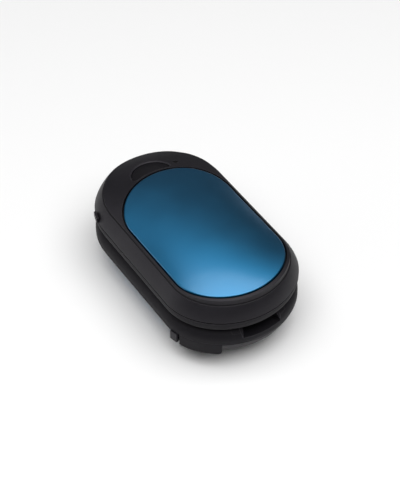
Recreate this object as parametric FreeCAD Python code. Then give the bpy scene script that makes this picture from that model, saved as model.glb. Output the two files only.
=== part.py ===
import FreeCAD, Part
import math
import os
from collections import namedtuple

from FreeCAD import Vector

# Rechargeable hand warmer: two warming units, docked back to back by magnets.
# Millimetres. Each unit is drawn in its own frame, with the mating face at z = 0,
# the heat plate up, and the control end (button, charging bay) at +Y.
# The lower unit is the same unit turned over about the X axis.

# Outline that both units share, with half-ellipse ends of these depths
body_width = 58.0
body_length = 101.0
front_end_depth = 25.5
back_end_depth = 28.5
unit_height = 19.7
half_width = body_width / 2
half_length = body_length / 2

# Cutters run this far past what they cut
overrun = 2.0

# Domed crown over the frame and the heat plate, as arcs across the body.
# Shares: place of half the length, drop of the crown's drop, radius of the body width.
rest_flat = 0.5
crown_height = unit_height + rest_flat
crown_drop = 9.5
crown_shares = (
    (-1.030, 0.738, 1.55),
    (-0.673, 0.221, 1.16),
    (-0.158, 0.000, 0.83),
    (0.317, 0.147, 1.03),
    (0.673, 0.455, 1.60),
    (0.990, 1.040, 2.20),
)

# Base cover: flat mating face, large round edge, upright lip
lip_top = 6.0
rim_round = 4.5
cover_wall = 2.0
cover_floor = 1.6
tongue_wall = 1.0
tongue_rise = 1.2
tongue_clearance = 0.7

# Finger notch in the mating edge, at the middle of the control end
notch_width = 18.4
notch_flare = 1.8
notch_splay = 3.0
notch_depth = 7.0
notch_height = 3.8
notch_wall = 1.4

# Frame: leaning convex wall, shoulder crease, low bezel
parting_gap = 0.3
frame_wall = 2.0
wall_steps = 3
wall_bow = 20.0
shoulder_drop = 7.2
shoulder_inset = 3.5
shoulder_end_share = 0.86
bezel_inset = 3.8
bezel_end_inset = 3.3
bezel_lean = 0.5
roof = 3.6
wall_base = lip_top + parting_gap
shoulder_level = unit_height - shoulder_drop

# Heat plate: a pressed aluminium dish, nearer the plain end
plate_side_margin = 5.05
plate_plain_margin = 5.2
plate_control_margin = 19.6
plate_end_depth = 21.0
plate_skin = 1.0
plate_rim = 2.2
plate_edge_round = 0.7
plate_gap = 0.35
seal_thickness = 0.2
ledge = 2.0
plate_half_width = half_width - plate_side_margin
plate_near = plate_plain_margin - half_length
plate_far = half_length - plate_control_margin

# Layers under the plate
film_inset = 3.0
film_thickness = 0.25
layer_gap = 0.05
foam_inset = 3.6

# Button: a half moon beside the plate, in a shallow stepped recess
button_width = 17.0
button_depth = 7.0
button_margin = 1.9
button_tip_round = 0.8
button_clearance = 0.3
button_recess = 0.6
button_flange = 1.0
button_flange_thickness = 1.0
button_travel = 0.5
step_width = 0.9
step_depth = 0.35
stem_radius = 1.6

# Status light beside the tip of the button
light_radius = 0.9
light_offset = 3.6
light_margin = 2.1
light_clearance = 0.1
light_place = (button_width / 2 + light_offset, plate_far + light_margin)

# Magnets and screws
magnet_radius = 4.0
magnet_thickness = 2.0
magnet_spacing = 20.4
magnet_end_margin = 16.5
magnet_pocket = 0.5
magnet_clearance = 0.1
magnet_place = (magnet_spacing / 2, half_length - magnet_end_margin)
screw_side_margin = 6.0
screw_end_margin = 26.5
screw_head_radius = 1.9
screw_head_height = 1.1
screw_radius = 1.0
screw_length = 7.0
screw_recess = 1.5
screw_clearance = 0.2
screw_pad_radius = 3.4
screw_pad_top = 3.0
screw_place = (half_width - screw_side_margin, half_length - screw_end_margin)
boss_radius = 2.0
boss_depth = 0.2

# Circuit board and what stands on it
board_level = 6.4
board_thickness = 1.2
board_length = 25.0
board_end_margin = 4.5
board_side_margin = 8.8
board_inset = 4.2
post_radius = 1.5
near_post_inset = (4.2, 1.8)
far_post_place = 6.5
far_post_inset = 3.0
switch_side = 6.0
switch_height = 1.6
plunger_radius = 1.6
press_margin = 0.1
driver_chip = (7.0, 5.0, 1.0)
driver_place = (-7.5, 4.0)
inductor = (5.6, 5.6, 2.6)
inductor_place = (8.5, 4.5)
led_chip = (2.0, 1.2, 0.7)
board_top = board_level + board_thickness
board_far = half_length - board_end_margin
board_near = board_far - board_length
board_half_width = half_width - board_side_margin

# Battery: a pouch cell on the base cover, between the magnets and the board
battery_side_margin = 10.0
battery_headroom = 7.7
battery_round = 2.0
battery_gap = 0.3
battery_top = unit_height - battery_headroom

# Sockets, each a flat rounded shell with a tongue
socket_width = 8.94
socket_height = 3.26
socket_length = 7.3
socket_shell = 0.3
socket_mouth = 6.0
socket_tongue = (6.7, 0.7, 5.0)
socket_clearance = 0.2
socket_inset = 2.1
socket_level = board_top + socket_height / 2

# Cord lug at the left corner of the control end
lug_end_margin = 18.8
lug_length = 3.3
lug_top = 10.8
lug_proud = 0.5
cord_radius = 0.7
cord_inset = 0.9
cord_level = 9.0
cord_reach = 1.2
lug_far = half_length - lug_end_margin
lug_near = lug_far - lug_length

# Corner port of the lower unit: a door that hangs beside the lug and turns on a pin
door_thickness = 2.0
door_skin = 0.45
door_top = 11.5
door_end_margin = 12.6
door_gap = 0.3
door_seam = 0.12
door_round = 1.5
door_lap = 0.1
hinge_ahead = 1.0
hinge_inset = 1.3
hinge_radius = 0.85
hinge_reach = 1.0
hinge_sweep = 1.6
port_wall = 1.6
ear_radius = 0.7
ear_height = 0.8
ear_gap = 0.2
pin_radius = 0.4
pin_fit = 0.03
pin_play = 0.12
port_side_margin = 6.6
port_setback = 1.2
recess_width = 10.6
recess_height = 4.2
pad_thickness = 0.8
pad_clearance = 0.3
door_low = lip_top + door_seam
door_end = half_width - door_end_margin
door_room = door_thickness + door_gap
hinge_place = lug_far + hinge_ahead
port_place = half_width - port_side_margin
back_wall_low = lip_top + tongue_rise + ear_gap

# The two units: the lower one lies on a small flat on its plate
Unit = namedtuple("Unit", "name plain_depth control_depth top turned has_port")
upper = Unit("upper", front_end_depth, back_end_depth, unit_height + overrun, False, False)
lower = Unit("lower", back_end_depth, front_end_depth, unit_height, True, True)


# Outlines

def half_ellipse(center, across, along, side):
    if across >= along:
        curve = Part.Ellipse(center + Vector(across, 0, 0), center + Vector(0, along, 0), center)
        start = 0.0
    else:
        curve = Part.Ellipse(center + Vector(0, along, 0), center + Vector(-across, 0, 0), center)
        start = -math.pi / 2
    if side < 0:
        start += math.pi
    return Part.ArcOfEllipse(curve, start, start + math.pi).toShape()


def oblong(half_width, y_range, depths, level):
    # Straight sides closed by half-ellipse ends of the given depths
    side = Vector(half_width, 0, 0)
    near = Vector(0, y_range[0] + depths[0], level)
    far = Vector(0, y_range[1] - depths[1], level)
    return Part.Wire([
        Part.makeLine(near + side, far + side),
        half_ellipse(far, half_width, depths[1], 1),
        Part.makeLine(far - side, near - side),
        half_ellipse(near, half_width, depths[0], -1),
    ])


def body_wire(unit, inset, level, end_inset=None):
    end = inset if end_inset is None else end_inset
    reach = half_length - end
    depths = (unit.plain_depth - end, unit.control_depth - end)
    return oblong(half_width - inset, (-reach, reach), depths, level)


def body_prism(unit, inset, low, high):
    return Part.Face(body_wire(unit, inset, low)).extrude(Vector(0, 0, high - low))


def plate_prism(inset, low, high):
    depth = plate_end_depth - inset
    y_range = (plate_near + inset, plate_far - inset)
    wire = oblong(plate_half_width - inset, y_range, (depth, depth), low)
    return Part.Face(wire).extrude(Vector(0, 0, high - low))


def box(x_range, y_range, z_range):
    size = [high - low for low, high in (x_range, y_range, z_range)]
    return Part.makeBox(*size, Vector(x_range[0], y_range[0], z_range[0]))


def post(radius, place, low, high):
    return Part.makeCylinder(radius, high - low, Vector(place[0], place[1], low))


def corners(place):
    # The same place in all four quarters of the body
    return [(x * place[0], y * place[1]) for x in (-1, 1) for y in (-1, 1)]


def join(shapes):
    return shapes[0].multiFuse(shapes[1:]).removeSplitter()


def single(shape):
    # A boolean can hand back a compound of one solid
    return shape.Solids[0] if len(shape.Solids) == 1 else shape


# Crown surface

def crown(drop):
    # Everything below the domed crown, lowered by drop
    reach = half_width + overrun
    wires = []
    for place_share, drop_share, radius_share in crown_shares:
        y = place_share * half_length
        top = crown_height - drop_share * crown_drop
        radius = radius_share * body_width
        edge = top - radius + math.sqrt(radius ** 2 - reach ** 2)
        left = Vector(-reach, y, edge)
        right = Vector(reach, y, edge)
        low_left = Vector(-reach, y, -overrun)
        low_right = Vector(reach, y, -overrun)
        wires.append(Part.Wire([
            Part.Arc(left, Vector(0, y, top), right).toShape(),
            Part.makeLine(right, low_right),
            Part.makeLine(low_right, low_left),
            Part.makeLine(low_left, left),
        ]))
    solid = Part.makeLoft(wires, True, False)
    solid.translate(Vector(0, 0, -drop))
    return solid


def layer(inset, top_drop, low_drop):
    # A sheet inside the plate's outline that follows the crown
    sheet = plate_prism(inset, 0, unit_height - top_drop)
    return sheet.common(crown(top_drop)).cut(crown(low_drop))


# Heat plate and the layers under it

def heat_plate(unit):
    blank = plate_prism(0, 0, unit.top).common(crown(0))
    blank = blank.Solids[0]
    rim_edges = []
    for edge in blank.Edges:
        span = edge.BoundBox
        if span.ZMin > lip_top and span.ZMax < unit_height - plate_edge_round:
            rim_edges.append(edge)
    blank = blank.makeFillet(plate_edge_round, rim_edges)
    inside = plate_prism(plate_skin, 0, unit_height - plate_skin).common(crown(plate_skin))
    return single(blank.cut(crown(plate_rim)).cut(inside))


def plate_seal():
    ring = layer(0, plate_rim, plate_rim + seal_thickness)
    return single(ring.cut(plate_prism(ledge, 0, unit_height)))


def heater_film():
    return single(layer(film_inset, plate_skin + layer_gap, plate_skin + layer_gap + film_thickness))


def foam_pad():
    top_drop = plate_skin + film_thickness + 2 * layer_gap
    low = battery_top + layer_gap
    pad = plate_prism(foam_inset, low, unit_height - top_drop)
    return single(pad.common(crown(top_drop)))


# Frame

def wall_solid(unit, inset, start):
    # Loft up a shallow arc that leans in from the lip to the shoulder
    rise = shoulder_level - wall_base
    half_bow = math.radians(wall_bow) / 2
    first = math.atan2(shoulder_inset, rise) - half_bow
    radius = math.hypot(rise, shoulder_inset) / (2 * math.sin(half_bow))
    wires = [body_wire(unit, inset, start)]
    for step in range(1, wall_steps + 1):
        angle = first + 2 * half_bow * step / wall_steps
        lean = radius * (math.cos(first) - math.cos(angle))
        level = wall_base + radius * (math.sin(angle) - math.sin(first))
        wires.append(body_wire(unit, inset + lean, level, inset + lean * shoulder_end_share))
    return Part.makeLoft(wires, True, False)


def bezel_solid(unit):
    low = (wall_base + shoulder_level) / 2
    wires = [
        body_wire(unit, bezel_inset, low, bezel_end_inset),
        body_wire(unit, bezel_inset + bezel_lean, unit_height, bezel_end_inset + bezel_lean),
    ]
    return Part.makeLoft(wires, True, True).common(crown(0))


def cord_lug(unit):
    block = body_prism(unit, -lug_proud, wall_base, lug_top)
    return block.common(box((-body_width, 0), (lug_near, lug_far), (wall_base, lug_top)))


def cord_hole(unit):
    start = outline_point(unit, cord_inset, lug_near - cord_reach)
    along = outline_point(unit, cord_inset, lug_far + cord_reach) - start
    start.z = cord_level
    return Part.makeCylinder(cord_radius, along.Length, start, along)


def frame_openings(unit):
    # Cuts through the roof and the walls
    openings = [
        moon_prism(button_clearance),
        moon_prism(step_width).cut(crown(step_depth)),
        post(light_radius + light_clearance, light_place, 0, unit_height),
        cord_hole(unit),
    ]
    if not unit.has_port:
        openings.append(at_end_port(socket_room(overrun)))
    return openings


def frame(unit):
    shell = join([wall_solid(unit, 0, wall_base).common(crown(0)), bezel_solid(unit), cord_lug(unit)])
    attic = body_prism(unit, frame_wall + shoulder_inset + overrun, wall_base, unit_height)
    cavity = join([wall_solid(unit, frame_wall, wall_base - overrun), attic]).common(crown(roof))
    pocket = plate_prism(-plate_gap, 0, unit_height + overrun).cut(crown(plate_rim + seal_thickness))
    shell = shell.cut(cavity).cut(pocket).cut(plate_prism(ledge, 0, unit_height))
    roof_line = crown((plate_rim + seal_thickness + roof) / 2)
    for place in corners(screw_place):
        pillar = post(boss_radius, place, screw_pad_top, shoulder_level).common(roof_line)
        pilot = post(screw_radius, place, 0, screw_recess + screw_length + boss_depth)
        shell = join([shell, pillar]).cut(pilot)
    for opening in frame_openings(unit):
        shell = shell.cut(opening)
    if unit.has_port:
        shell = join([shell.cut(door_recess(unit))] + port_walls(unit)).cut(port_cuts(unit))
    return single(shell)


# Button and status light

def moon_circle(tip, top):
    # Center and radius of the arc over both tips and the top point
    rise = top - tip
    radius = ((button_width / 2) ** 2 + rise ** 2) / (2 * rise)
    return top - radius, radius


def toward(start, end):
    return (end - start).normalize()


def moon_prism(grow):
    # Half moon with rounded tips, grown all round: its inner edge runs beside the plate's end
    share = button_width / 2 / (plate_half_width + button_margin)
    base = plate_far - plate_end_depth
    tip = base + (plate_end_depth + button_margin) * math.sqrt(1 - share ** 2)
    middle = plate_far + button_margin
    outer_y, outer_radius = moon_circle(tip, middle + button_depth)
    inner_y, inner_radius = moon_circle(tip, middle)
    far = outer_radius - button_tip_round
    near = inner_radius + button_tip_round
    y = (near ** 2 - far ** 2 + outer_y ** 2 - inner_y ** 2) / (2 * (outer_y - inner_y))
    side = [Vector(x * math.sqrt(far ** 2 - (y - outer_y) ** 2), y, 0) for x in (1, -1)]
    outer = Vector(0, outer_y, 0)
    inner = Vector(0, inner_y, 0)
    tip_radius = button_tip_round + grow
    starts = [center + toward(outer, center) * tip_radius for center in side]
    ends = [center - toward(inner, center) * tip_radius for center in side]
    tops = [center + (toward(outer, center) - toward(inner, center)).normalize() * tip_radius for center in side]
    wire = Part.Wire([
        Part.Arc(starts[0], outer + Vector(0, outer_radius + grow, 0), starts[1]).toShape(),
        Part.Arc(starts[1], tops[1], ends[1]).toShape(),
        Part.Arc(ends[1], inner + Vector(0, inner_radius - grow, 0), ends[0]).toShape(),
        Part.Arc(ends[0], tops[0], starts[0]).toShape(),
    ])
    return Part.Face(wire).extrude(Vector(0, 0, unit_height))


def button_center():
    return (0, plate_far + button_margin + button_depth / 2)


def switch_top():
    return board_top + switch_height


def button():
    low_drop = roof + button_clearance + button_flange_thickness
    cap = moon_prism(0).common(crown(button_recess)).cut(crown(low_drop))
    flange = moon_prism(button_flange).common(crown(roof + button_clearance)).cut(crown(low_drop))
    stem = post(stem_radius, button_center(), switch_top() + button_travel + press_margin, unit_height)
    stem = stem.common(crown(roof))
    return single(join([cap, flange, stem]))


def switch():
    x, y = button_center()
    half = switch_side / 2
    body_height = switch_height - press_margin * 2
    body = box((x - half, x + half), (y - half, y + half), (board_top, board_top + body_height))
    return single(join([body, post(plunger_radius, (x, y), board_top, switch_top())]))


def status_light():
    low = board_top + led_chip[2] + press_margin
    return single(post(light_radius, light_place, low, unit_height).common(crown(layer_gap)))


# Inside: board, socket, battery

def chip(size, place):
    x, y = place
    return box((x - size[0] / 2, x + size[0] / 2), (y - size[1] / 2, y + size[1] / 2),
               (board_level, board_top + size[2]))


def circuit_board(unit):
    slab = body_prism(unit, board_inset, board_level, board_top)
    slab = slab.common(box((-board_half_width, board_half_width), (board_near, board_far), (0, unit_height)))
    chips = [
        chip(driver_chip, (driver_place[0], board_near + driver_place[1])),
        chip(inductor, (inductor_place[0], board_near + inductor_place[1])),
        chip(led_chip, light_place),
    ]
    return single(join([slab] + chips))


def slot_prism(width, height, length):
    # A flat slot with round ends that runs along +Y from y = 0
    radius = height / 2
    reach = width / 2 - radius
    wire = Part.Wire([
        Part.makeLine(Vector(-reach, 0, -radius), Vector(reach, 0, -radius)),
        Part.Arc(Vector(reach, 0, -radius), Vector(reach + radius, 0, 0), Vector(reach, 0, radius)).toShape(),
        Part.makeLine(Vector(reach, 0, radius), Vector(-reach, 0, radius)),
        Part.Arc(Vector(-reach, 0, radius), Vector(-reach - radius, 0, 0), Vector(-reach, 0, -radius)).toShape(),
    ])
    return Part.Face(wire).extrude(Vector(0, length, 0))


def socket():
    # Drawn with its mouth at y = 0, facing +Y
    shell = slot_prism(socket_width, socket_height, socket_length)
    mouth = slot_prism(socket_width - 2 * socket_shell, socket_height - 2 * socket_shell, socket_mouth)
    shell.translate(Vector(0, -socket_length, 0))
    mouth.translate(Vector(0, -socket_mouth, 0))
    wide, thick, long = socket_tongue
    tongue = box((-wide / 2, wide / 2), (-socket_mouth, long - socket_mouth), (-thick / 2, thick / 2))
    return join([shell.cut(mouth), tongue])


def socket_room(ahead):
    # Clearance round a socket, from behind it to a little ahead of its mouth
    length = socket_clearance + socket_length + ahead
    room = slot_prism(socket_width + 2 * socket_clearance, socket_height + 2 * socket_clearance, length)
    room.translate(Vector(0, ahead - length, 0))
    return room


def at_end_port(piece):
    # On the board, with the mouth in the end wall of the frame
    piece.translate(Vector(0, half_length - socket_inset, socket_level))
    return piece


def charge_socket(unit):
    if unit.has_port:
        return single(at_corner_port(unit, socket(), port_depth()))
    return single(at_end_port(socket()))


def battery():
    half = half_width - battery_side_margin
    near = magnet_end_margin + magnet_radius + battery_gap - half_length
    cell = box((-half, half), (near, board_near - battery_gap), (cover_floor, battery_top))
    upright = [edge for edge in cell.Edges if edge.BoundBox.ZLength > battery_round]
    return single(cell.makeFillet(battery_round, upright))


# Base cover, magnets and screws

def finger_notch():
    # Wider at the mating face and toward the end of the body
    wires = []
    for y in (half_length - notch_depth, half_length + overrun):
        half = notch_width / 2 - notch_splay * (half_length - y) / notch_depth
        wide = half + notch_flare
        points = [Vector(-wide, y, 0), Vector(-half, y, notch_height),
                  Vector(half, y, notch_height), Vector(wide, y, 0)]
        wires.append(Part.makePolygon(points + points[:1]))
    return Part.makeLoft(wires, True, True)


def notch_lining(unit):
    half = notch_width / 2 + notch_flare + notch_wall
    inner = half_length - notch_depth - notch_wall
    block = box((-half, half), (inner, half_length), (cover_floor / 2, notch_height + notch_wall))
    return block.common(body_prism(unit, cover_wall / 2, 0, unit_height))


def cover_dish(unit):
    dish = body_prism(unit, 0, 0, lip_top)
    rim = [edge for edge in dish.Edges if edge.BoundBox.ZMax < rim_round / 2]
    dish = dish.makeFillet(rim_round, rim)
    inside = body_prism(unit, cover_wall, cover_floor, lip_top + overrun)
    rim = [edge for edge in inside.Edges if edge.BoundBox.ZMax < rim_round / 2]
    dish = dish.cut(inside.makeFillet(rim_round - cover_wall, rim))
    inset = cover_wall + tongue_clearance
    tongue = body_prism(unit, inset, cover_floor / 2, lip_top + tongue_rise)
    return join([dish, tongue.cut(body_prism(unit, inset + tongue_wall, 0, unit_height))])


def board_posts():
    near = (board_half_width - near_post_inset[0], board_near + near_post_inset[1])
    far = (far_post_place, board_far - far_post_inset)
    return [post(post_radius, (side * x, y), cover_floor / 2, board_level)
            for x, y in (near, far) for side in (-1, 1)]


def base_cover(unit):
    pads = [post(screw_pad_radius, place, cover_floor / 2, screw_pad_top) for place in corners(screw_place)]
    cover = join([cover_dish(unit), notch_lining(unit)] + board_posts() + pads).cut(finger_notch())
    for place in corners(screw_place):
        cover = cover.cut(post(screw_radius + screw_clearance, place, -overrun, unit_height))
        cover = cover.cut(post(screw_head_radius + screw_clearance, place, -overrun, screw_recess))
    for place in corners(magnet_place):
        radius = magnet_radius + magnet_clearance
        cover = cover.cut(post(radius, place, cover_floor - magnet_pocket, cover_floor + magnet_thickness))
    return single(cover)


def magnets():
    low = cover_floor - magnet_pocket
    return Part.makeCompound([post(magnet_radius, place, low, low + magnet_thickness)
                              for place in corners(magnet_place)])


def screws():
    pieces = []
    for place in corners(screw_place):
        head = post(screw_head_radius, place, screw_recess - screw_head_height, screw_recess)
        shank = post(screw_radius, place, screw_recess, screw_recess + screw_length)
        pieces.append(single(join([head, shank])))
    return Part.makeCompound(pieces)


# Corner port of the lower unit: walls, hinge, door

def outline_point(unit, inset, y):
    # On the left of the control end, at height zero
    depth = unit.control_depth - inset
    rise = (y - half_length + unit.control_depth) / depth
    return Vector(-(half_width - inset) * math.sqrt(1 - rise ** 2), y, 0)


def corner_strip(unit, inset, thickness, x_end, y_range, z_range):
    # Part of the body's outer skin, round the left corner of the control end
    low, high = z_range
    ring = body_prism(unit, inset, low, high).cut(body_prism(unit, inset + thickness, low, high))
    return ring.common(box((-body_width, -x_end), y_range, z_range))


def hinge_center(unit):
    return outline_point(unit, hinge_inset, hinge_place)


def port_depth():
    # From the outline to the mouth of the socket
    return door_room + port_setback


def at_corner_port(unit, piece, setback):
    # From facing +Y at the origin to square on the outline at the port's place
    rise = math.sqrt(1 - (port_place / half_width) ** 2)
    turn = math.atan2(port_place / half_width ** 2, rise / unit.control_depth)
    y = half_length - unit.control_depth * (1 - rise)
    outward = Vector(-math.sin(turn), math.cos(turn), 0)
    piece.rotate(Vector(0, 0, 0), Vector(0, 0, 1), math.degrees(turn))
    piece.translate(Vector(-port_place, y, socket_level) - outward * setback)
    return piece


def door_recess(unit):
    # Room for the door and for the swing of its hinged edge
    ring = body_prism(unit, -overrun, 0, unit_height).cut(body_prism(unit, door_room, 0, unit_height))
    room = box((-body_width, door_seam - door_end), (lug_far, body_length), (0, unit_height))
    return ring.common(join([room, post(hinge_sweep, hinge_center(unit), 0, unit_height)]))


def knuckle_levels():
    return back_wall_low + ear_height, door_top - ear_height


def port_walls(unit):
    # A wall behind the door, clear of the cover's tongue, with an ear at each end of the hinge
    walls = [corner_strip(unit, door_room, port_wall, door_end - door_gap, (lug_near, body_length),
                          (back_wall_low, door_top))]
    low, high = knuckle_levels()
    ear_span = (hinge_place - ear_radius, hinge_place + ear_radius)
    for level in ((back_wall_low, low), (high, door_top)):
        web = corner_strip(unit, hinge_inset, door_room + port_wall - hinge_inset, 0, ear_span, level)
        walls.append(join([web, post(ear_radius, hinge_center(unit), level[0], level[1])]))
    return walls


def port_cuts(unit):
    center = hinge_center(unit)
    low, high = knuckle_levels()
    recess = slot_prism(recess_width, recess_height, port_setback + overrun)
    recess.translate(Vector(0, -port_setback, 0))
    return join([
        at_corner_port(unit, socket_room(0), port_depth()),
        at_corner_port(unit, recess, door_room),
        post(hinge_radius + ear_gap, center, low, high),
        post(pin_radius + pin_fit, center, back_wall_low, door_top + overrun),
    ])


def door_leaf(unit):
    # Rounded at the free end, thinned to a skin over the ears of the hinge
    levels = (door_low, door_top)
    leaf = corner_strip(unit, 0, door_thickness, door_end, (hinge_place - door_lap, body_length), levels)
    leaf = leaf.Solids[0]
    tip = []
    for edge in leaf.Edges:
        span = edge.BoundBox
        if span.XMin > -door_end - door_gap and span.ZMin > door_top - door_gap:
            tip.append(edge)
    leaf = leaf.makeFillet(door_round, tip)
    hinge_span = (hinge_place - overrun, hinge_place + hinge_reach)
    return leaf.cut(corner_strip(unit, door_skin, door_thickness, 0, hinge_span, (0, unit_height)))


def port_door(unit):
    low, high = knuckle_levels()
    span = (hinge_place, hinge_place + hinge_reach + ear_gap)
    levels = (low + ear_gap, high - ear_gap)
    neck = corner_strip(unit, 0, door_thickness, 0, span, levels)
    barrel = post(hinge_radius, hinge_center(unit), levels[0], levels[1])
    pad = slot_prism(recess_width - 2 * pad_clearance, recess_height - 2 * pad_clearance,
                     pad_thickness + door_thickness)
    pad.translate(Vector(0, -pad_thickness, 0))
    pad = at_corner_port(unit, pad, door_thickness).common(body_prism(unit, door_thickness / 2, 0, door_top))
    door = join([door_leaf(unit), neck, barrel, pad])
    return single(door.cut(post(pin_radius + pin_play, hinge_center(unit), 0, unit_height)))


def door_pin(unit):
    return post(pin_radius, hinge_center(unit), back_wall_low + press_margin, door_top - press_margin)


# Assembly

def place(shape, unit):
    if unit.turned:
        shape.rotate(Vector(0, 0, 0), Vector(1, 0, 0), 180)
    shape.translate(Vector(0, 0, unit_height))
    return shape


def unit_pieces(unit):
    pieces = {
        "heat_plate": heat_plate(unit),
        "plate_seal": plate_seal(),
        "heater_film": heater_film(),
        "foam_pad": foam_pad(),
        "frame": frame(unit),
        "button": button(),
        "switch": switch(),
        "status_light": status_light(),
        "circuit_board": circuit_board(unit),
        "charge_socket": charge_socket(unit),
        "battery": battery(),
        "base_cover": base_cover(unit),
        "magnets": magnets(),
        "screws": screws(),
    }
    if unit.has_port:
        pieces["port_door"] = port_door(unit)
        pieces["door_pin"] = door_pin(unit)
    return pieces


os.makedirs("parts", exist_ok=True)
for unit in (upper, lower):
    for name, shape in unit_pieces(unit).items():
        place(shape, unit).exportStep("parts/" + unit.name + "_" + name + ".step")
        print(unit.name, name, len(shape.Solids), round(shape.Volume, 1), shape.isValid())
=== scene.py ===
import bmesh
import bpy
import math
import numpy
from mathutils import Matrix, Vector
from mathutils.bvhtree import BVHTree


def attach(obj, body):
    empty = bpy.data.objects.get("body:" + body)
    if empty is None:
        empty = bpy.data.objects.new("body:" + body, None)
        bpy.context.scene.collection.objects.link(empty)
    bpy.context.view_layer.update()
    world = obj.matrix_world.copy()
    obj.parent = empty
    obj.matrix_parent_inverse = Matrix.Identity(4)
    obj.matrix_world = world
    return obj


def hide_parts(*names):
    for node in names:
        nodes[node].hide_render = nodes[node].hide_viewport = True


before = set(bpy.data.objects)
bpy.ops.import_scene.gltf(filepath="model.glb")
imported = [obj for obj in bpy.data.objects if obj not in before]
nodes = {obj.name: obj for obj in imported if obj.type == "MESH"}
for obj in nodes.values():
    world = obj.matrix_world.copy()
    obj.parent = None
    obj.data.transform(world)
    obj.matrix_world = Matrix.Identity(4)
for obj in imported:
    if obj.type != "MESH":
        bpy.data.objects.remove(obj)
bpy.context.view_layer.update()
print("frame loaded:", len(nodes), "nodes")

millimetre = 0.001


# Small helpers for node trees

raySamples = 6  # of the nodes that look round a point
wholeRange = (0.0, 1.0)


def startMaterial(name):
    material = bpy.data.materials.new(name)
    material.use_nodes = True
    tree = material.node_tree
    shader = tree.nodes["Principled BSDF"]
    coords = tree.nodes.new("ShaderNodeTexCoord")
    return material, tree, shader, coords.outputs["Object"]


def setInput(tree, socket, value):
    # The value is a number, a plain colour or the output of another node
    if isinstance(value, bpy.types.NodeSocket):
        tree.links.new(value, socket)
    elif socket.type == "RGBA":
        socket.default_value = (*value, 1)
    else:
        socket.default_value = value


def setInputs(tree, node, inputs):
    for name, value in inputs.items():
        setInput(tree, node.inputs[name], value)


def addNode(tree, kind, inputs, **options):
    node = tree.nodes.new("ShaderNode" + kind)
    for name, value in options.items():
        setattr(node, name, value)
    setInputs(tree, node, inputs)
    return node


def stretch(tree, coords, scale):
    return addNode(tree, "Mapping", {"Vector": coords, "Scale": scale}).outputs["Vector"]


def addNoise(tree, coords, scale, detail=3.0, roughness=0.5):
    inputs = {"Vector": coords, "Scale": scale, "Detail": detail, "Roughness": roughness}
    return addNode(tree, "TexNoise", inputs).outputs["Fac"]


def addCells(tree, coords, scale, feature="F1"):
    inputs = {"Vector": coords, "Scale": scale}
    return addNode(tree, "TexVoronoi", inputs, feature=feature).outputs["Distance"]


def addBands(tree, coords, scale, direction="X", distortion=0.0):
    inputs = {"Vector": coords, "Scale": scale, "Distortion": distortion}
    return addNode(tree, "TexWave", inputs, bands_direction=direction).outputs["Fac"]


def mapRange(tree, value, target, source=(0.3, 0.7)):
    inputs = {"Value": value, "From Min": source[0], "From Max": source[1],
              "To Min": target[0], "To Max": target[1]}
    return addNode(tree, "MapRange", inputs).outputs["Result"]


def mixColours(tree, factor, first, second):
    node = addNode(tree, "Mix", {"Factor": factor}, data_type="RGBA")
    ends = [socket for socket in node.inputs if socket.type == "RGBA"]
    for socket, colour in zip(ends, (first, second)):
        setInput(tree, socket, colour)
    return next(socket for socket in node.outputs if socket.type == "RGBA")


def combine(tree, operation, first, second):
    return addNode(tree, "Math", {0: first, 1: second}, operation=operation).outputs["Value"]


def softNormal(tree, radius):
    # Rounds the moulded edges over
    return addNode(tree, "Bevel", {"Radius": radius}, samples=raySamples).outputs["Normal"]


def edgeMask(tree, normal, span=(0.995, 0.90)):
    # 1 along the edges that the soft normal rounds over
    surface = addNode(tree, "NewGeometry", {}).outputs["Normal"]
    match = addNode(tree, "VectorMath", {0: normal, 1: surface}, operation="DOT_PRODUCT")
    return mapRange(tree, match.outputs["Value"], wholeRange, span)


def openness(tree, reach):
    # 1 on open surfaces, less in the piece's own creases
    node = addNode(tree, "AmbientOcclusion", {"Distance": reach}, samples=raySamples, only_local=True)
    return node.outputs["AO"]


def addBump(tree, height, finish, normal=None):
    inputs = {"Height": height, "Strength": finish["bump"], "Distance": finish["bumpDepth"]}
    if normal is not None:
        inputs["Normal"] = normal
    return addNode(tree, "Bump", inputs).outputs["Normal"]


# Moulded black plastic and rubber: cloudy tone, fine grain, painted shade in the creases, lightly worn
# edges lightened further by a painted highlight

mouldedLook = {
    "tint": (0.96, 0.92, 1.0),
    "cloudNoise": (4.0, 0.55),  # detail, roughness
    "scuffNoise": (5.0, 0.65),
    "scuffScaleShare": 9,
    "scuffSpan": (0.38, 0.62),
    "scuffRoughShare": 0.35,
    "roughSpan": (0.45, 0.90),
    "leastWearAndHighlightShare": 0.6,
    "creaseReach": 1.2 * millimetre,
    "creaseSpan": (0.55, 0.88),
    # painted shade colour for the piece's own creases
    "creaseColour": (0.0008, 0.0008, 0.0009),
    "creaseDull": 0.25,
    "bumpDepth": 0.04 * millimetre,
}

shellFinish = {
    **mouldedLook,
    "gloss": 0.32,
    "colour": (0.0052, 0.0049, 0.0066),
    "cloudy": (0.0076, 0.0070, 0.0092),
    # lighter edge colour: light wear plus a painted highlight
    "wornAndHighlight": (0.026, 0.025, 0.029),
    "wearAndHighlightStrength": 0.60,
    "roughness": (0.46, 0.56),
    "grainScale": 3600,
    "cloudScale": 85,
    "edgeRadius": 0.35 * millimetre,
    "bump": 0.16,
}

# painted highlight: the rim round the button's recess gets much lighter edges than wear alone would
# give
rimHighlightFinish = {**shellFinish, "wornAndHighlight": (0.055, 0.053, 0.062), "wearAndHighlightStrength": 0.90}

coverFinish = {
    **mouldedLook,
    "gloss": 0.22,
    "colour": (0.0040, 0.0038, 0.0050),
    "cloudy": (0.0060, 0.0056, 0.0072),
    # lighter edge colour: wear plus a painted highlight along the lip and rim
    "wornAndHighlight": (0.050, 0.048, 0.054),
    "wearAndHighlightStrength": 0.85,
    "roughness": (0.60, 0.70),
    "grainScale": 2600,
    "cloudScale": 95,
    "edgeRadius": 0.40 * millimetre,
    "bump": 0.30,
}

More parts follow.
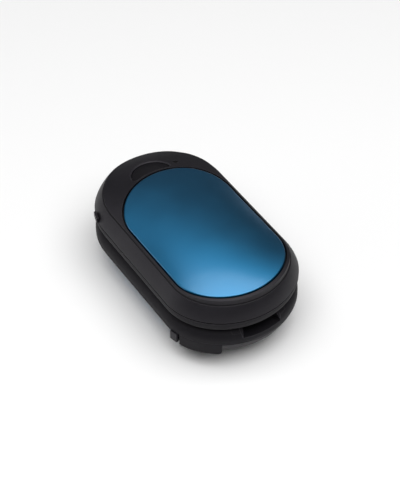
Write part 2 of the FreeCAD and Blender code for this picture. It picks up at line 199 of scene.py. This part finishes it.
buttonFinish = {
    **mouldedLook,
    "gloss": 0.24,
    "colour": (0.0036, 0.0034, 0.0044),
    "cloudy": (0.0054, 0.0050, 0.0064),
    "wornAndHighlight": (0.018, 0.017, 0.020),
    "wearAndHighlightStrength": 0.6,
    "roughness": (0.48, 0.58),
    "grainScale": 4400,
    "cloudScale": 140,
    "edgeRadius": 0.30 * millimetre,
    "bump": 0.12,
}

doorFinish = {
    **mouldedLook,
    "gloss": 0.22,
    "colour": (0.0046, 0.0043, 0.0054),
    "cloudy": (0.0068, 0.0063, 0.0078),
    "wornAndHighlight": (0.016, 0.015, 0.018),
    "wearAndHighlightStrength": 0.5,
    "roughness": (0.58, 0.68),
    "grainScale": 3000,
    "cloudScale": 120,
    "edgeRadius": 0.40 * millimetre,
    "bump": 0.20,
}

sealFinish = {
    **mouldedLook,
    "gloss": 0.30,
    "colour": (0.012, 0.012, 0.012),
    "cloudy": (0.020, 0.020, 0.020),
    "wornAndHighlight": (0.030, 0.030, 0.030),
    "wearAndHighlightStrength": 0.3,
    "roughness": (0.62, 0.78),
    "grainScale": 2600,
    "cloudScale": 200,
    "edgeRadius": 0.10 * millimetre,
    "bump": 0.25,
}

switchFinish = {
    **mouldedLook,
    "gloss": 0.40,
    "colour": (0.022, 0.022, 0.023),
    "cloudy": (0.032, 0.032, 0.033),
    "wornAndHighlight": (0.060, 0.060, 0.062),
    "wearAndHighlightStrength": 0.5,
    "roughness": (0.40, 0.55),
    "grainScale": 5200,
    "cloudScale": 400,
    "edgeRadius": 0.12 * millimetre,
    "bump": 0.15,
}


def mouldedPlastic(name, finish):
    material, tree, shader, coords = startMaterial(name)
    scuffScale = finish["cloudScale"] * finish["scuffScaleShare"]
    cloud = addNoise(tree, coords, finish["cloudScale"], *finish["cloudNoise"])
    scuff = addNoise(tree, coords, scuffScale, *finish["scuffNoise"])
    grain = addCells(tree, coords, finish["grainScale"], "SMOOTH_F1")
    normal = softNormal(tree, finish["edgeRadius"])
    clear = mapRange(tree, openness(tree, finish["creaseReach"]), wholeRange, finish["creaseSpan"])
    colour = mixColours(tree, mapRange(tree, cloud, wholeRange), finish["colour"], finish["cloudy"])
    # painted shade: the colour goes dark in the piece's own creases and recesses, where shade falls
    colour = mixColours(tree, clear, finish["creaseColour"], colour)
    # edges lightened along the rounded-over mask: partly wear, partly a painted highlight on the lip,
    # ridge and notch edges
    wearAndHighlightStrength = (finish["leastWearAndHighlightShare"] * finish["wearAndHighlightStrength"], finish["wearAndHighlightStrength"])
    wornAndHighlight = mapRange(tree, scuff, wearAndHighlightStrength, finish["scuffSpan"])
    edge = combine(tree, "MULTIPLY", edgeMask(tree, normal), clear)
    wearAndHighlightMask = combine(tree, "MULTIPLY", edge, wornAndHighlight)
    uneven = combine(tree, "ADD", cloud, combine(tree, "MULTIPLY", scuff, finish["scuffRoughShare"]))
    rough = mapRange(tree, uneven, finish["roughness"], finish["roughSpan"])
    dull = combine(tree, "MULTIPLY", combine(tree, "SUBTRACT", 1.0, clear), finish["creaseDull"])
    setInputs(tree, shader, {
        "Specular IOR Level": finish["gloss"],
        "Specular Tint": finish["tint"],
        "Base Color": mixColours(tree, wearAndHighlightMask, colour, finish["wornAndHighlight"]),
        "Roughness": combine(tree, "ADD", rough, dull),
        "Normal": addBump(tree, grain, finish, normal),
    })
    return material


# Heat plate: bead-blasted aluminium, dyed blue

plateFinish = {
    "colour": (0.012, 0.150, 0.308),
    "cloudy": (0.016, 0.165, 0.332),
    # lighter blue for the rounded edges: a painted highlight with some wear
    "wornAndHighlight": (0.042, 0.215, 0.385),
    "wearAndHighlightStrength": (0.1, 0.5),
    "roughness": (0.40, 0.45),
    "grainScale": 5200,
    "grainNoise": (2.0, 0.6),
    "cloudScale": 55,
    "cloudNoise": (4.0, 0.5),
    "edgeRadius": 0.30 * millimetre,
    "bump": 0.10,
    "bumpDepth": 0.03 * millimetre,
    "coat": 0.85,
    "coatRoughness": 0.18,
}


def anodisedPlate(name, finish):
    material, tree, shader, coords = startMaterial(name)
    cloud = addNoise(tree, coords, finish["cloudScale"], *finish["cloudNoise"])
    blast = addNoise(tree, coords, finish["grainScale"], *finish["grainNoise"])
    normal = softNormal(tree, finish["edgeRadius"])
    colour = mixColours(tree, mapRange(tree, cloud, wholeRange), finish["colour"], finish["cloudy"])
    # painted highlight: the plate's rounded edges turn lighter blue, varied by the blast grain
    wornAndHighlight = mapRange(tree, blast, finish["wearAndHighlightStrength"])
    wearAndHighlightMask = combine(tree, "MULTIPLY", edgeMask(tree, normal), wornAndHighlight)
    setInputs(tree, shader, {
        "Metallic": 1.0,
        "Coat Weight": finish["coat"],
        "Coat Roughness": finish["coatRoughness"],
        "Base Color": mixColours(tree, wearAndHighlightMask, colour, finish["wornAndHighlight"]),
        "Roughness": mapRange(tree, cloud, finish["roughness"]),
        "Normal": addBump(tree, blast, finish, normal),
    })
    return material


# Smoked light pipe

lightFinish = {
    "colour": (0.0020, 0.0020, 0.0022),
    "cloudy": (0.0032, 0.0032, 0.0034),
    "gloss": 0.12,
    "roughness": (0.40, 0.50),
    "transmission": 0.25,
    "cloudScale": 900,
    "bump": 0.1,
    "bumpDepth": 0.02 * millimetre,
}


def smokedLens(name, finish):
    material, tree, shader, coords = startMaterial(name)
    cloud = addNoise(tree, coords, finish["cloudScale"])
    setInputs(tree, shader, {
        "Transmission Weight": finish["transmission"],
        "Specular IOR Level": finish["gloss"],
        "Base Color": mixColours(tree, cloud, finish["colour"], finish["cloudy"]),
        "Roughness": mapRange(tree, cloud, finish["roughness"]),
        "Normal": addBump(tree, cloud, finish),
    })
    return material


# Bare metal: socket shells, screws and hinge pin in steel, magnets in bright nickel

steelFinish = {
    "colour": (0.42, 0.42, 0.43),
    "dull": (0.30, 0.30, 0.31),
    "roughness": (0.24, 0.40),
    "brush": (300, 2600, 300),
    "brushNoise": (4.0, 0.6),
    "cloudScale": 500,
    "cloudNoise": (5.0, 0.6),
    "edgeRadius": 0.08 * millimetre,
    "bump": 0.15,
    "bumpDepth": 0.02 * millimetre,
}

nickelFinish = {
    **steelFinish,
    "colour": (0.62, 0.59, 0.54),
    "dull": (0.48, 0.46, 0.42),
    "roughness": (0.14, 0.26),
    "brush": (900, 900, 900),
    "cloudScale": 350,
    "bump": 0.06,
}


def bareMetal(name, finish):
    material, tree, shader, coords = startMaterial(name)
    cloud = addNoise(tree, coords, finish["cloudScale"], *finish["cloudNoise"])
    lines = addNoise(tree, stretch(tree, coords, finish["brush"]), 1.0, *finish["brushNoise"])
    normal = softNormal(tree, finish["edgeRadius"])
    tarnish = mapRange(tree, cloud, wholeRange)
    setInputs(tree, shader, {
        "Metallic": 1.0,
        "Base Color": mixColours(tree, tarnish, finish["colour"], finish["dull"]),
        "Roughness": mapRange(tree, lines, finish["roughness"]),
        "Normal": addBump(tree, lines, finish, normal),
    })
    return material


# Layers and parts inside: heater film, foam, board and cell

filmFinish = {
    "amber": (0.42, 0.16, 0.02),
    "copper": (0.30, 0.11, 0.05),
    "trackScale": 62,
    "trackSpan": (0.45, 0.55),
    "cloudScale": 220,
    "roughness": (0.22, 0.34),
    "bump": 0.4,
    "bumpDepth": 0.05 * millimetre,
}


def heaterFilm(name, finish):
    material, tree, shader, coords = startMaterial(name)
    bands = addBands(tree, coords, finish["trackScale"])
    tracks = mapRange(tree, bands, wholeRange, finish["trackSpan"])
    cloud = addNoise(tree, coords, finish["cloudScale"])
    setInputs(tree, shader, {
        "Base Color": mixColours(tree, tracks, finish["amber"], finish["copper"]),
        "Roughness": mapRange(tree, cloud, finish["roughness"]),
        "Normal": addBump(tree, tracks, finish),
    })
    return material


foamFinish = {
    "skin": (0.70, 0.69, 0.66),
    "poreShade": (0.46, 0.45, 0.42),
    "poreScale": 900,
    "poreSpan": (0.5, 0.0),
    "cloudScale": 160,
    "roughness": (0.80, 0.95),
    "bump": 0.6,
    "bumpDepth": 0.3 * millimetre,
}


def openFoam(name, finish):
    material, tree, shader, coords = startMaterial(name)
    pores = addCells(tree, coords, finish["poreScale"])
    # painted shade: the colour goes darker inside each pore, where shade falls
    poreShadeMask = mapRange(tree, pores, wholeRange, finish["poreSpan"])
    cloud = addNoise(tree, coords, finish["cloudScale"])
    setInputs(tree, shader, {
        "Base Color": mixColours(tree, poreShadeMask, finish["skin"], finish["poreShade"]),
        "Roughness": mapRange(tree, cloud, finish["roughness"]),
        "Normal": addBump(tree, pores, finish),
    })
    return material


boardFinish = {
    "mask": (0.012, 0.085, 0.035),
    "track": (0.020, 0.130, 0.055),
    "trackScale": 190,
    "crossScale": 133,
    "crossBend": 2.0,
    "trackSpan": (0.80, 0.88),
    "cloudScale": 300,
    "roughness": (0.26, 0.40),
    "coat": 0.3,
    "bump": 0.3,
    "bumpDepth": 0.04 * millimetre,
}


def printedBoard(name, finish):
    material, tree, shader, coords = startMaterial(name)
    along = addBands(tree, coords, finish["trackScale"])
    across = addBands(tree, coords, finish["crossScale"], "Y", finish["crossBend"])
    bands = combine(tree, "MAXIMUM", along, across)
    tracks = mapRange(tree, bands, wholeRange, finish["trackSpan"])
    cloud = addNoise(tree, coords, finish["cloudScale"])
    setInputs(tree, shader, {
        "Coat Weight": finish["coat"],
        "Base Color": mixColours(tree, tracks, finish["mask"], finish["track"]),
        "Roughness": mapRange(tree, cloud, finish["roughness"]),
        "Normal": addBump(tree, tracks, finish),
    })
    return material


cellFinish = {
    "foil": (0.40, 0.41, 0.43),
    "crease": (0.30, 0.31, 0.33),
    "metallic": 0.85,
    "roughness": (0.28, 0.46),
    "creaseScale": 240,
    "creaseSpan": (0.12, 0.0),
    "cloudScale": 120,
    "cloudDetail": 5.0,
    "bump": 0.35,
    "bumpDepth": 0.2 * millimetre,
}


def foilCell(name, finish):
    material, tree, shader, coords = startMaterial(name)
    cells = addCells(tree, coords, finish["creaseScale"], "DISTANCE_TO_EDGE")
    # painted shade: darker lines where the foil folds, standing in for shade in the creases
    creases = mapRange(tree, cells, wholeRange, finish["creaseSpan"])
    cloud = addNoise(tree, coords, finish["cloudScale"], finish["cloudDetail"])
    setInputs(tree, shader, {
        "Metallic": finish["metallic"],
        "Base Color": mixColours(tree, creases, finish["foil"], finish["crease"]),
        "Roughness": mapRange(tree, cloud, finish["roughness"]),
        "Normal": addBump(tree, cloud, finish),
    })
    return material


finishes = {
    "heat_plate": anodisedPlate("anodisedBlue", plateFinish),
    "frame": mouldedPlastic("satinShell", shellFinish),
    "recess_rim": mouldedPlastic("rimPaintedHighlight", rimHighlightFinish),
    "base_cover": mouldedPlastic("mattCover", coverFinish),
    "button": mouldedPlastic("satinButton", buttonFinish),
    "port_door": mouldedPlastic("doorRubber", doorFinish),
    "plate_seal": mouldedPlastic("sealRubber", sealFinish),
    "switch": mouldedPlastic("switchPlastic", switchFinish),
    "status_light": smokedLens("smokedLightPipe", lightFinish),
    "heater_film": heaterFilm("amberFilm", filmFinish),
    "foam_pad": openFoam("whiteFoam", foamFinish),
    "circuit_board": printedBoard("greenBoard", boardFinish),
    "battery": foilCell("foilCell", cellFinish),
    "magnets": bareMetal("brightNickel", nickelFinish),
    "screws": bareMetal("brushedSteel", steelFinish),
}
finishes["charge_socket"] = finishes["door_pin"] = finishes["screws"]

for name, node in nodes.items():
    piece = name.split("_", 1)[1]
    node.data.materials.clear()
    node.data.materials.append(finishes[piece])
print("finishes applied:", len(set(finishes.values())))


# Pieces drawn in one unit's own frame: mating face at z = 0, plate up, button end at +Y

body = {
    "halfWidth": 29.0 * millimetre,
    "halfLength": 50.5 * millimetre,
    "height": 19.7 * millimetre,
    "endDepth": {"upper": 28.5 * millimetre, "lower": 25.5 * millimetre},  # of the button end
    "lipTop": 6.0 * millimetre,
    "rimRound": 4.5 * millimetre,
    "outlineSteps": 480,
    "rimSteps": 14,
    "weld": 0.001 * millimetre,
    "sharpAngle": math.radians(24),
}

lift = Matrix.Translation((0, 0, body["height"]))
unitPlaces = {"upper": lift, "lower": lift @ Matrix.Rotation(math.pi, 4, "X")}


def makeObject(name, bm):
    mesh = bpy.data.meshes.new(name)
    bm.to_mesh(mesh)
    bm.free()
    piece = bpy.data.objects.new(name, mesh)
    bpy.context.scene.collection.objects.link(piece)
    return piece


def makeBlock(size, place, title="block"):
    bm = bmesh.new()
    corners = bmesh.ops.create_cube(bm, size=1)["verts"]
    bmesh.ops.scale(bm, verts=corners, vec=size)
    bmesh.ops.translate(bm, verts=corners, vec=place)
    return makeObject(title, bm)


def pullFaces(bm, faces, step):
    pulled = bmesh.ops.extrude_face_region(bm, geom=faces, use_keep_orig=True)["geom"]
    ends = [item for item in pulled if isinstance(item, bmesh.types.BMVert)]
    bmesh.ops.translate(bm, verts=ends, vec=step)


def makeEnd(unit, grow, low, high, rimRound=0.0):
    # Solid oval that follows the body's button end, grown or shrunk all round
    depth = body["endDepth"][unit]
    bm = bmesh.new()
    ring = bmesh.ops.create_circle(bm, cap_ends=True, segments=body["outlineSteps"], radius=1)["verts"]
    bmesh.ops.scale(bm, verts=ring, vec=(body["halfWidth"] + grow, depth + grow, 1))
    bmesh.ops.translate(bm, verts=ring, vec=(0, body["halfLength"] - depth, low))
    rim = list(bm.edges)
    pullFaces(bm, list(bm.faces), (0, 0, high - low))
    if rimRound:
        bmesh.ops.bevel(bm, geom=rim, offset=rimRound, offset_type="OFFSET", affect="EDGES",
                        segments=body["rimSteps"], profile=0.5, material=-1)
    bmesh.ops.recalc_face_normals(bm, faces=list(bm.faces))
    return makeObject("end", bm)


def roundedEnd(unit, grow):
    # The end of the cover, with its rim rounded over
    return makeEnd(unit, grow, -grow, body["lipTop"] - grow, body["rimRound"])


def applyBoolean(piece, operation, helper):
    cut = piece.modifiers.new("cut", "BOOLEAN")
    cut.operation = operation
    cut.object = helper
    depsgraph = bpy.context.evaluated_depsgraph_get()
    piece.data = bpy.data.meshes.new_from_object(piece.evaluated_get(depsgraph))
    piece.modifiers.clear()
    bpy.data.objects.remove(helper)


def nodeCopy(name, unit, title, mirror=False):
    # Carries the solid's own normals along in an attribute, because cutting drops them
    mesh = nodes[name].data.copy()
    normals = numpy.zeros(3 * len(mesh.loops), numpy.float32)
    mesh.corner_normals.foreach_get("vector", normals)
    if mirror:
        normals[0::3] *= -1
    mesh.attributes.new("solidNormal", "FLOAT_VECTOR", "CORNER").data.foreach_set("vector", normals)
    bm = bmesh.new()
    bm.from_mesh(mesh)
    bm.transform(unitPlaces[unit].inverted() @ nodes[name].matrix_world)
    bmesh.ops.remove_doubles(bm, verts=list(bm.verts), dist=body["weld"])
    if mirror:
        bmesh.ops.scale(bm, verts=list(bm.verts), vec=(-1, 1, 1))
        bmesh.ops.reverse_faces(bm, faces=list(bm.faces))
    bpy.data.meshes.remove(mesh)
    return makeObject(title, bm)


def seatPiece(piece, unit, finish):
    mesh = piece.data
    mesh.transform(unitPlaces[unit])
    mesh.shade_smooth()
    mesh.set_sharp_from_angle(angle=body["sharpAngle"])
    if "solidNormal" in mesh.attributes:
        normals = numpy.zeros(3 * len(mesh.loops), numpy.float32)
        mesh.attributes["solidNormal"].data.foreach_get("vector", normals)
        mesh.normals_split_custom_set(normals.reshape(-1, 3))
        mesh.attributes.remove(mesh.attributes["solidNormal"])
    mesh.materials.clear()
    mesh.materials.append(finishes[finish])
    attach(piece, unit + "_unit")


# Base covers: the rim is round right up to the finger notch, and the upper lip lies a little lower

cover = {
    "trimSize": (28.0 * millimetre, 11.0 * millimetre, 4.9 * millimetre),
    "trimPlace": (0.0, 46.5 * millimetre, 2.0 * millimetre),
    "trimGap": 0.03 * millimetre,
    "lipDrop": {"upper": 0.3 * millimetre, "lower": 0.0},
    "lipTolerance": 0.03 * millimetre,
}


def trimmedCover(unit):
    block = makeBlock(cover["trimSize"], cover["trimPlace"])
    applyBoolean(block, "DIFFERENCE", roundedEnd(unit, cover["trimGap"]))
    piece = nodeCopy(unit + "_base_cover", unit, unit + "Cover")
    for vert in piece.data.vertices:
        if abs(vert.co.z - body["lipTop"]) < cover["lipTolerance"]:
            vert.co.z -= cover["lipDrop"][unit]
    applyBoolean(piece, "DIFFERENCE", block)
    seatPiece(piece, unit, "base_cover")
    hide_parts(unit + "_base_cover")


# Upright ends of the finger notch, which run out to the round rim

notch = {
    "halfWidth": 9.2 * millimetre,
    "flare": 1.8 * millimetre,
    "splay": 3.0 * millimetre,
    "depth": 7.0 * millimetre,
    "height": 3.8 * millimetre,
    "overrun": 1.0 * millimetre,
}


def notchEnds(unit):
    near = notch["halfWidth"] - notch["splay"]
    run = notch["depth"] + notch["overrun"]
    slant = notch["splay"] * run / notch["depth"]
    start = body["halfLength"] - notch["depth"]
    corners = [(near, 0), (near + notch["flare"], 0), (near, notch["height"])]
    bm = bmesh.new()
    for side in (-1, 1):
        wedge = bm.faces.new([bm.verts.new((side * x, start, z)) for x, z in corners])
        pullFaces(bm, [wedge], (side * slant, run, 0))
    bmesh.ops.recalc_face_normals(bm, faces=list(bm.faces))
    piece = makeObject(unit + "NotchEnds", bm)
    applyBoolean(piece, "INTERSECT", roundedEnd(unit, 0))
    seatPiece(piece, unit, "base_cover")


# Sloping rim inside the button's recess, which follows the crown of the frame

crown = {
    "alongX": range(-13, 14),  # millimetres
    "alongY": range(29, 46),  # millimetres
    "leastUp": 0.85,
    "recessDrop": 0.08,  # millimetres
    "rounds": 6,
}

recess = {
    "halfWidth": 8.5 * millimetre,
    "tipY": 31.526 * millimetre,
    "innerY": 32.8 * millimetre,
    "outerY": 39.8 * millimetre,
    "tipRound": 0.8 * millimetre,
    "wide": 0.93 * millimetre,
    "narrow": 0.35 * millimetre,
    "depth": 0.36 * millimetre,
    "steps": 40,
    "weld": 0.01 * millimetre,
}


def crownTerms(x, y):
    return 1, x, y, x * x, x * y, y * y, y ** 3


def crownWeights():
    # Fits the crown's height round the button to the frame's own surface, in millimetres
    tree = BVHTree.FromObject(nodes["upper_frame"], bpy.context.evaluated_depsgraph_get())
    rows, levels = [], []
    for x in crown["alongX"]:
        for y in crown["alongY"]:
            place = Vector((x * millimetre, y * millimetre, 1))
            hit, normal = tree.ray_cast(place, Vector((0, 0, -1)))[:2]
            if hit is not None and normal.z > crown["leastUp"]:
                rows.append(crownTerms(x, y))
                levels.append((hit.z - body["height"]) / millimetre)
    rows, levels = numpy.array(rows, float), numpy.array(levels)
    keep = numpy.ones(len(levels), bool)
    for step in range(crown["rounds"]):  # the recess lies below the crown and drops out
        weights = numpy.linalg.lstsq(rows[keep], levels[keep], rcond=None)[0]
        keep = levels - rows @ weights > -crown["recessDrop"]
    return weights


def moonArc(top):
    # Center and radius of the arc over both tips of the half moon
    rise = top - recess["tipY"]
    radius = (recess["halfWidth"] ** 2 + rise ** 2) / (2 * rise)
    return Vector((0, top - radius, 0)), radius


def recessRim(unit, weights):
    outer, outerRadius = moonArc(recess["outerY"])
    inner, innerRadius = moonArc(recess["innerY"])
    far = outerRadius - recess["tipRound"]
    near = innerRadius + recess["tipRound"]
    gap = outer.y - inner.y
    rise = (near ** 2 - far ** 2 - gap ** 2) / (2 * gap)  # tips above the outer arc's center
    tipX = math.sqrt(far ** 2 - rise ** 2)
    low = math.atan2(rise, tipX)
    dip = math.atan2(tipX, gap + rise)
    left, right = (Vector((x, outer.y + rise, 0)) for x in (-tipX, tipX))
    tipTurn = math.pi / 2 + low + dip
    turns = ((outer, math.pi - 2 * low), (left, tipTurn), (inner, -2 * dip), (right, tipTurn))

    bm = bmesh.new()
    wide, narrow = outerRadius + recess["wide"], outerRadius + recess["narrow"]
    section = [(wide, 0), (wide, -recess["depth"]), (narrow, -recess["depth"])]
    loop = [bm.verts.new((r * math.cos(low), outer.y + r * math.sin(low), z)) for r, z in section]
    geom = loop + [bm.edges.new((loop[i - 1], loop[i])) for i in range(len(loop))]
    for center, angle in turns:
        geom = bmesh.ops.spin(bm, geom=geom, cent=center, axis=(0, 0, 1), angle=angle,
                              steps=recess["steps"])["geom_last"]
    bmesh.ops.remove_doubles(bm, verts=list(bm.verts), dist=recess["weld"])
    for vert in bm.verts:
        terms = crownTerms(vert.co.x / millimetre, vert.co.y / millimetre)
        vert.co.z += float(numpy.dot(weights, terms)) * millimetre
    bmesh.ops.recalc_face_normals(bm, faces=list(bm.faces))
    seatPiece(makeObject(unit + "RecessRim", bm), unit, "recess_rim")


# Upper cord lug: a low block with a groove behind it, in place of the frame's own lug

lug = {
    "size": (12.0 * millimetre, 4.2 * millimetre, 2.4 * millimetre),
    "place": (-25.0 * millimetre, 29.5 * millimetre, 7.4 * millimetre),
    "proud": 0.7 * millimetre,
    "sunk": 1.6 * millimetre,
    "grooveInset": 0.3 * millimetre,
    "grooveLevels": (7.0 * millimetre, 9.5 * millimetre),
    "patchSize": (9.0 * millimetre, 7.4 * millimetre, 6.2 * millimetre),
    "patchPlace": (-27.5 * millimetre, 30.05 * millimetre, 9.0 * millimetre),
    "patchLap": 0.04 * millimetre,
}


def cordLug():
    piece = makeBlock(lug["size"], lug["place"], "upperCordLug")
    low, high = lug["grooveLevels"]
    applyBoolean(piece, "INTERSECT", makeEnd("upper", lug["proud"], 0, high))
    applyBoolean(piece, "DIFFERENCE", makeEnd("upper", -lug["sunk"], 0, high))
    applyBoolean(piece, "DIFFERENCE", makeEnd("upper", -lug["grooveInset"], low, high))
    seatPiece(piece, "upper", "frame")


def plainFrame():
    # The right wall is bare, so its mirror image fills the place of the lug on the left
    lap = Vector((1, 1, 1)) * 2 * lug["patchLap"]
    piece = nodeCopy("upper_frame", "upper", "upperFrame")
    patch = nodeCopy("upper_frame", "upper", "wallPatch", mirror=True)
    applyBoolean(piece, "DIFFERENCE", makeBlock(lug["patchSize"], lug["patchPlace"]))
    applyBoolean(patch, "INTERSECT", makeBlock(Vector(lug["patchSize"]) + lap, lug["patchPlace"]))
    applyBoolean(piece, "UNION", patch)
    seatPiece(piece, "upper", "frame")
    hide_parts("upper_frame")


# Heat plates, drawn in a little so that the dark gap round them shows

plate = {"inset": 0.28 * millimetre}


def insetPlate(unit):
    node = unit + "_heat_plate"
    piece = nodeCopy(node, unit, unit + "HeatPlate")
    xs, ys = ([vert.co[axis] for vert in piece.data.vertices] for axis in range(2))
    middle = Vector(((min(xs) + max(xs)) / 2, (min(ys) + max(ys)) / 2, 0))
    shares = [1 - 2 * plate["inset"] / (max(side) - min(side)) for side in (xs, ys)]
    shift = Matrix.Translation(middle)
    piece.data.transform(shift @ Matrix.Diagonal((*shares, 1, 1)) @ shift.inverted())
    seatPiece(piece, unit, "heat_plate")
    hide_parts(node)


weights = crownWeights()
plainFrame()
cordLug()
print("upper frame and cord lug made")
for unit in unitPlaces:
    trimmedCover(unit)
    notchEnds(unit)
    recessRim(unit, weights)
    insetPlate(unit)
    print(unit, "unit: cover, notch ends, recess rim and heat plate made")


# Floor, light and camera

floorLook = {"reach": 3.0, "colour": (0.85, 0.85, 0.85), "roughness": 0.9, "gloss": 0.0}

skyLook = {"colour": (1, 1, 1), "strength": (0.036, 0.30), "span": (0.2, 0.95)}

overheadBox = {
    "place": (-0.03, -0.24, 0.90),
    "size": (1.34, 1.05),
    "turn": -28,
    "power": 13.2,
}

sideBox = {
    "place": (-0.80, 0.50, 0.22),
    "size": (0.70, 0.40),
    "power": 1.5,
}

view = {
    "target": (0, 0, 24.6 * millimetre),
    "azimuth": -32.66,
    "elevation": 45.12,
    "distance": 656.4 * millimetre,
    "sensorHeight": 36,
    "focalPixels": 1626.6,
    "frameHeightPixels": 500,
    "targetOffsetPixels": (6.2, -11.9),
}


def buildFloor():
    bpy.ops.mesh.primitive_plane_add(size=2 * floorLook["reach"])
    floor = bpy.context.object
    floor.name = "studioFloor"
    material, tree, shader = startMaterial("paleFloor")[:3]
    setInputs(tree, shader, {
        "Base Color": floorLook["colour"],
        "Roughness": floorLook["roughness"],
        "Specular IOR Level": floorLook["gloss"],
    })
    floor.data.materials.append(material)


def buildWorld():
    world = bpy.data.worlds.new("studioWorld")
    bpy.context.scene.world = world
    world.use_nodes = True
    tree = world.node_tree
    coords = addNode(tree, "TexCoord", {}).outputs["Generated"]
    height = addNode(tree, "SeparateXYZ", {"Vector": coords}).outputs["Z"]
    setInputs(tree, tree.nodes["Background"], {
        "Color": skyLook["colour"],
        "Strength": mapRange(tree, height, skyLook["strength"], skyLook["span"]),
    })


def addSoftbox(name, box):
    data = bpy.data.lights.new(name, "AREA")
    data.shape = "RECTANGLE"
    data.size, data.size_y = box["size"]
    data.energy = box["power"]
    lamp = bpy.data.objects.new(name, data)
    bpy.context.scene.collection.objects.link(lamp)
    lamp.location = box["place"]
    return lamp


def aim(item, direction):
    item.rotation_euler = direction.to_track_quat("-Z", "Y").to_euler()


def addLamps():
    overhead = addSoftbox("overheadBox", overheadBox)
    overhead.rotation_euler = (0, 0, math.radians(overheadBox["turn"]))  # hangs level
    aim(addSoftbox("sideBox", sideBox), -Vector(sideBox["place"]))


def buildCamera():
    data = bpy.data.cameras.new("camera")
    data.sensor_fit = "VERTICAL"
    data.sensor_height = view["sensorHeight"]
    data.lens = view["focalPixels"] * data.sensor_height / view["frameHeightPixels"]
    data.shift_x, data.shift_y = (
        offset / view["frameHeightPixels"] for offset in view["targetOffsetPixels"])
    camera = bpy.data.objects.new("camera", data)
    bpy.context.scene.collection.objects.link(camera)
    azimuth = math.radians(view["azimuth"])
    elevation = math.radians(view["elevation"])
    level = math.cos(elevation)
    direction = Vector((math.sin(azimuth) * level, -math.cos(azimuth) * level, math.sin(elevation)))
    camera.location = Vector(view["target"]) + direction * view["distance"]
    aim(camera, -direction)
    bpy.context.scene.camera = camera


buildFloor()
buildWorld()
addLamps()
buildCamera()
bpy.context.scene.view_settings.view_transform = "Standard"
print("studio ready")
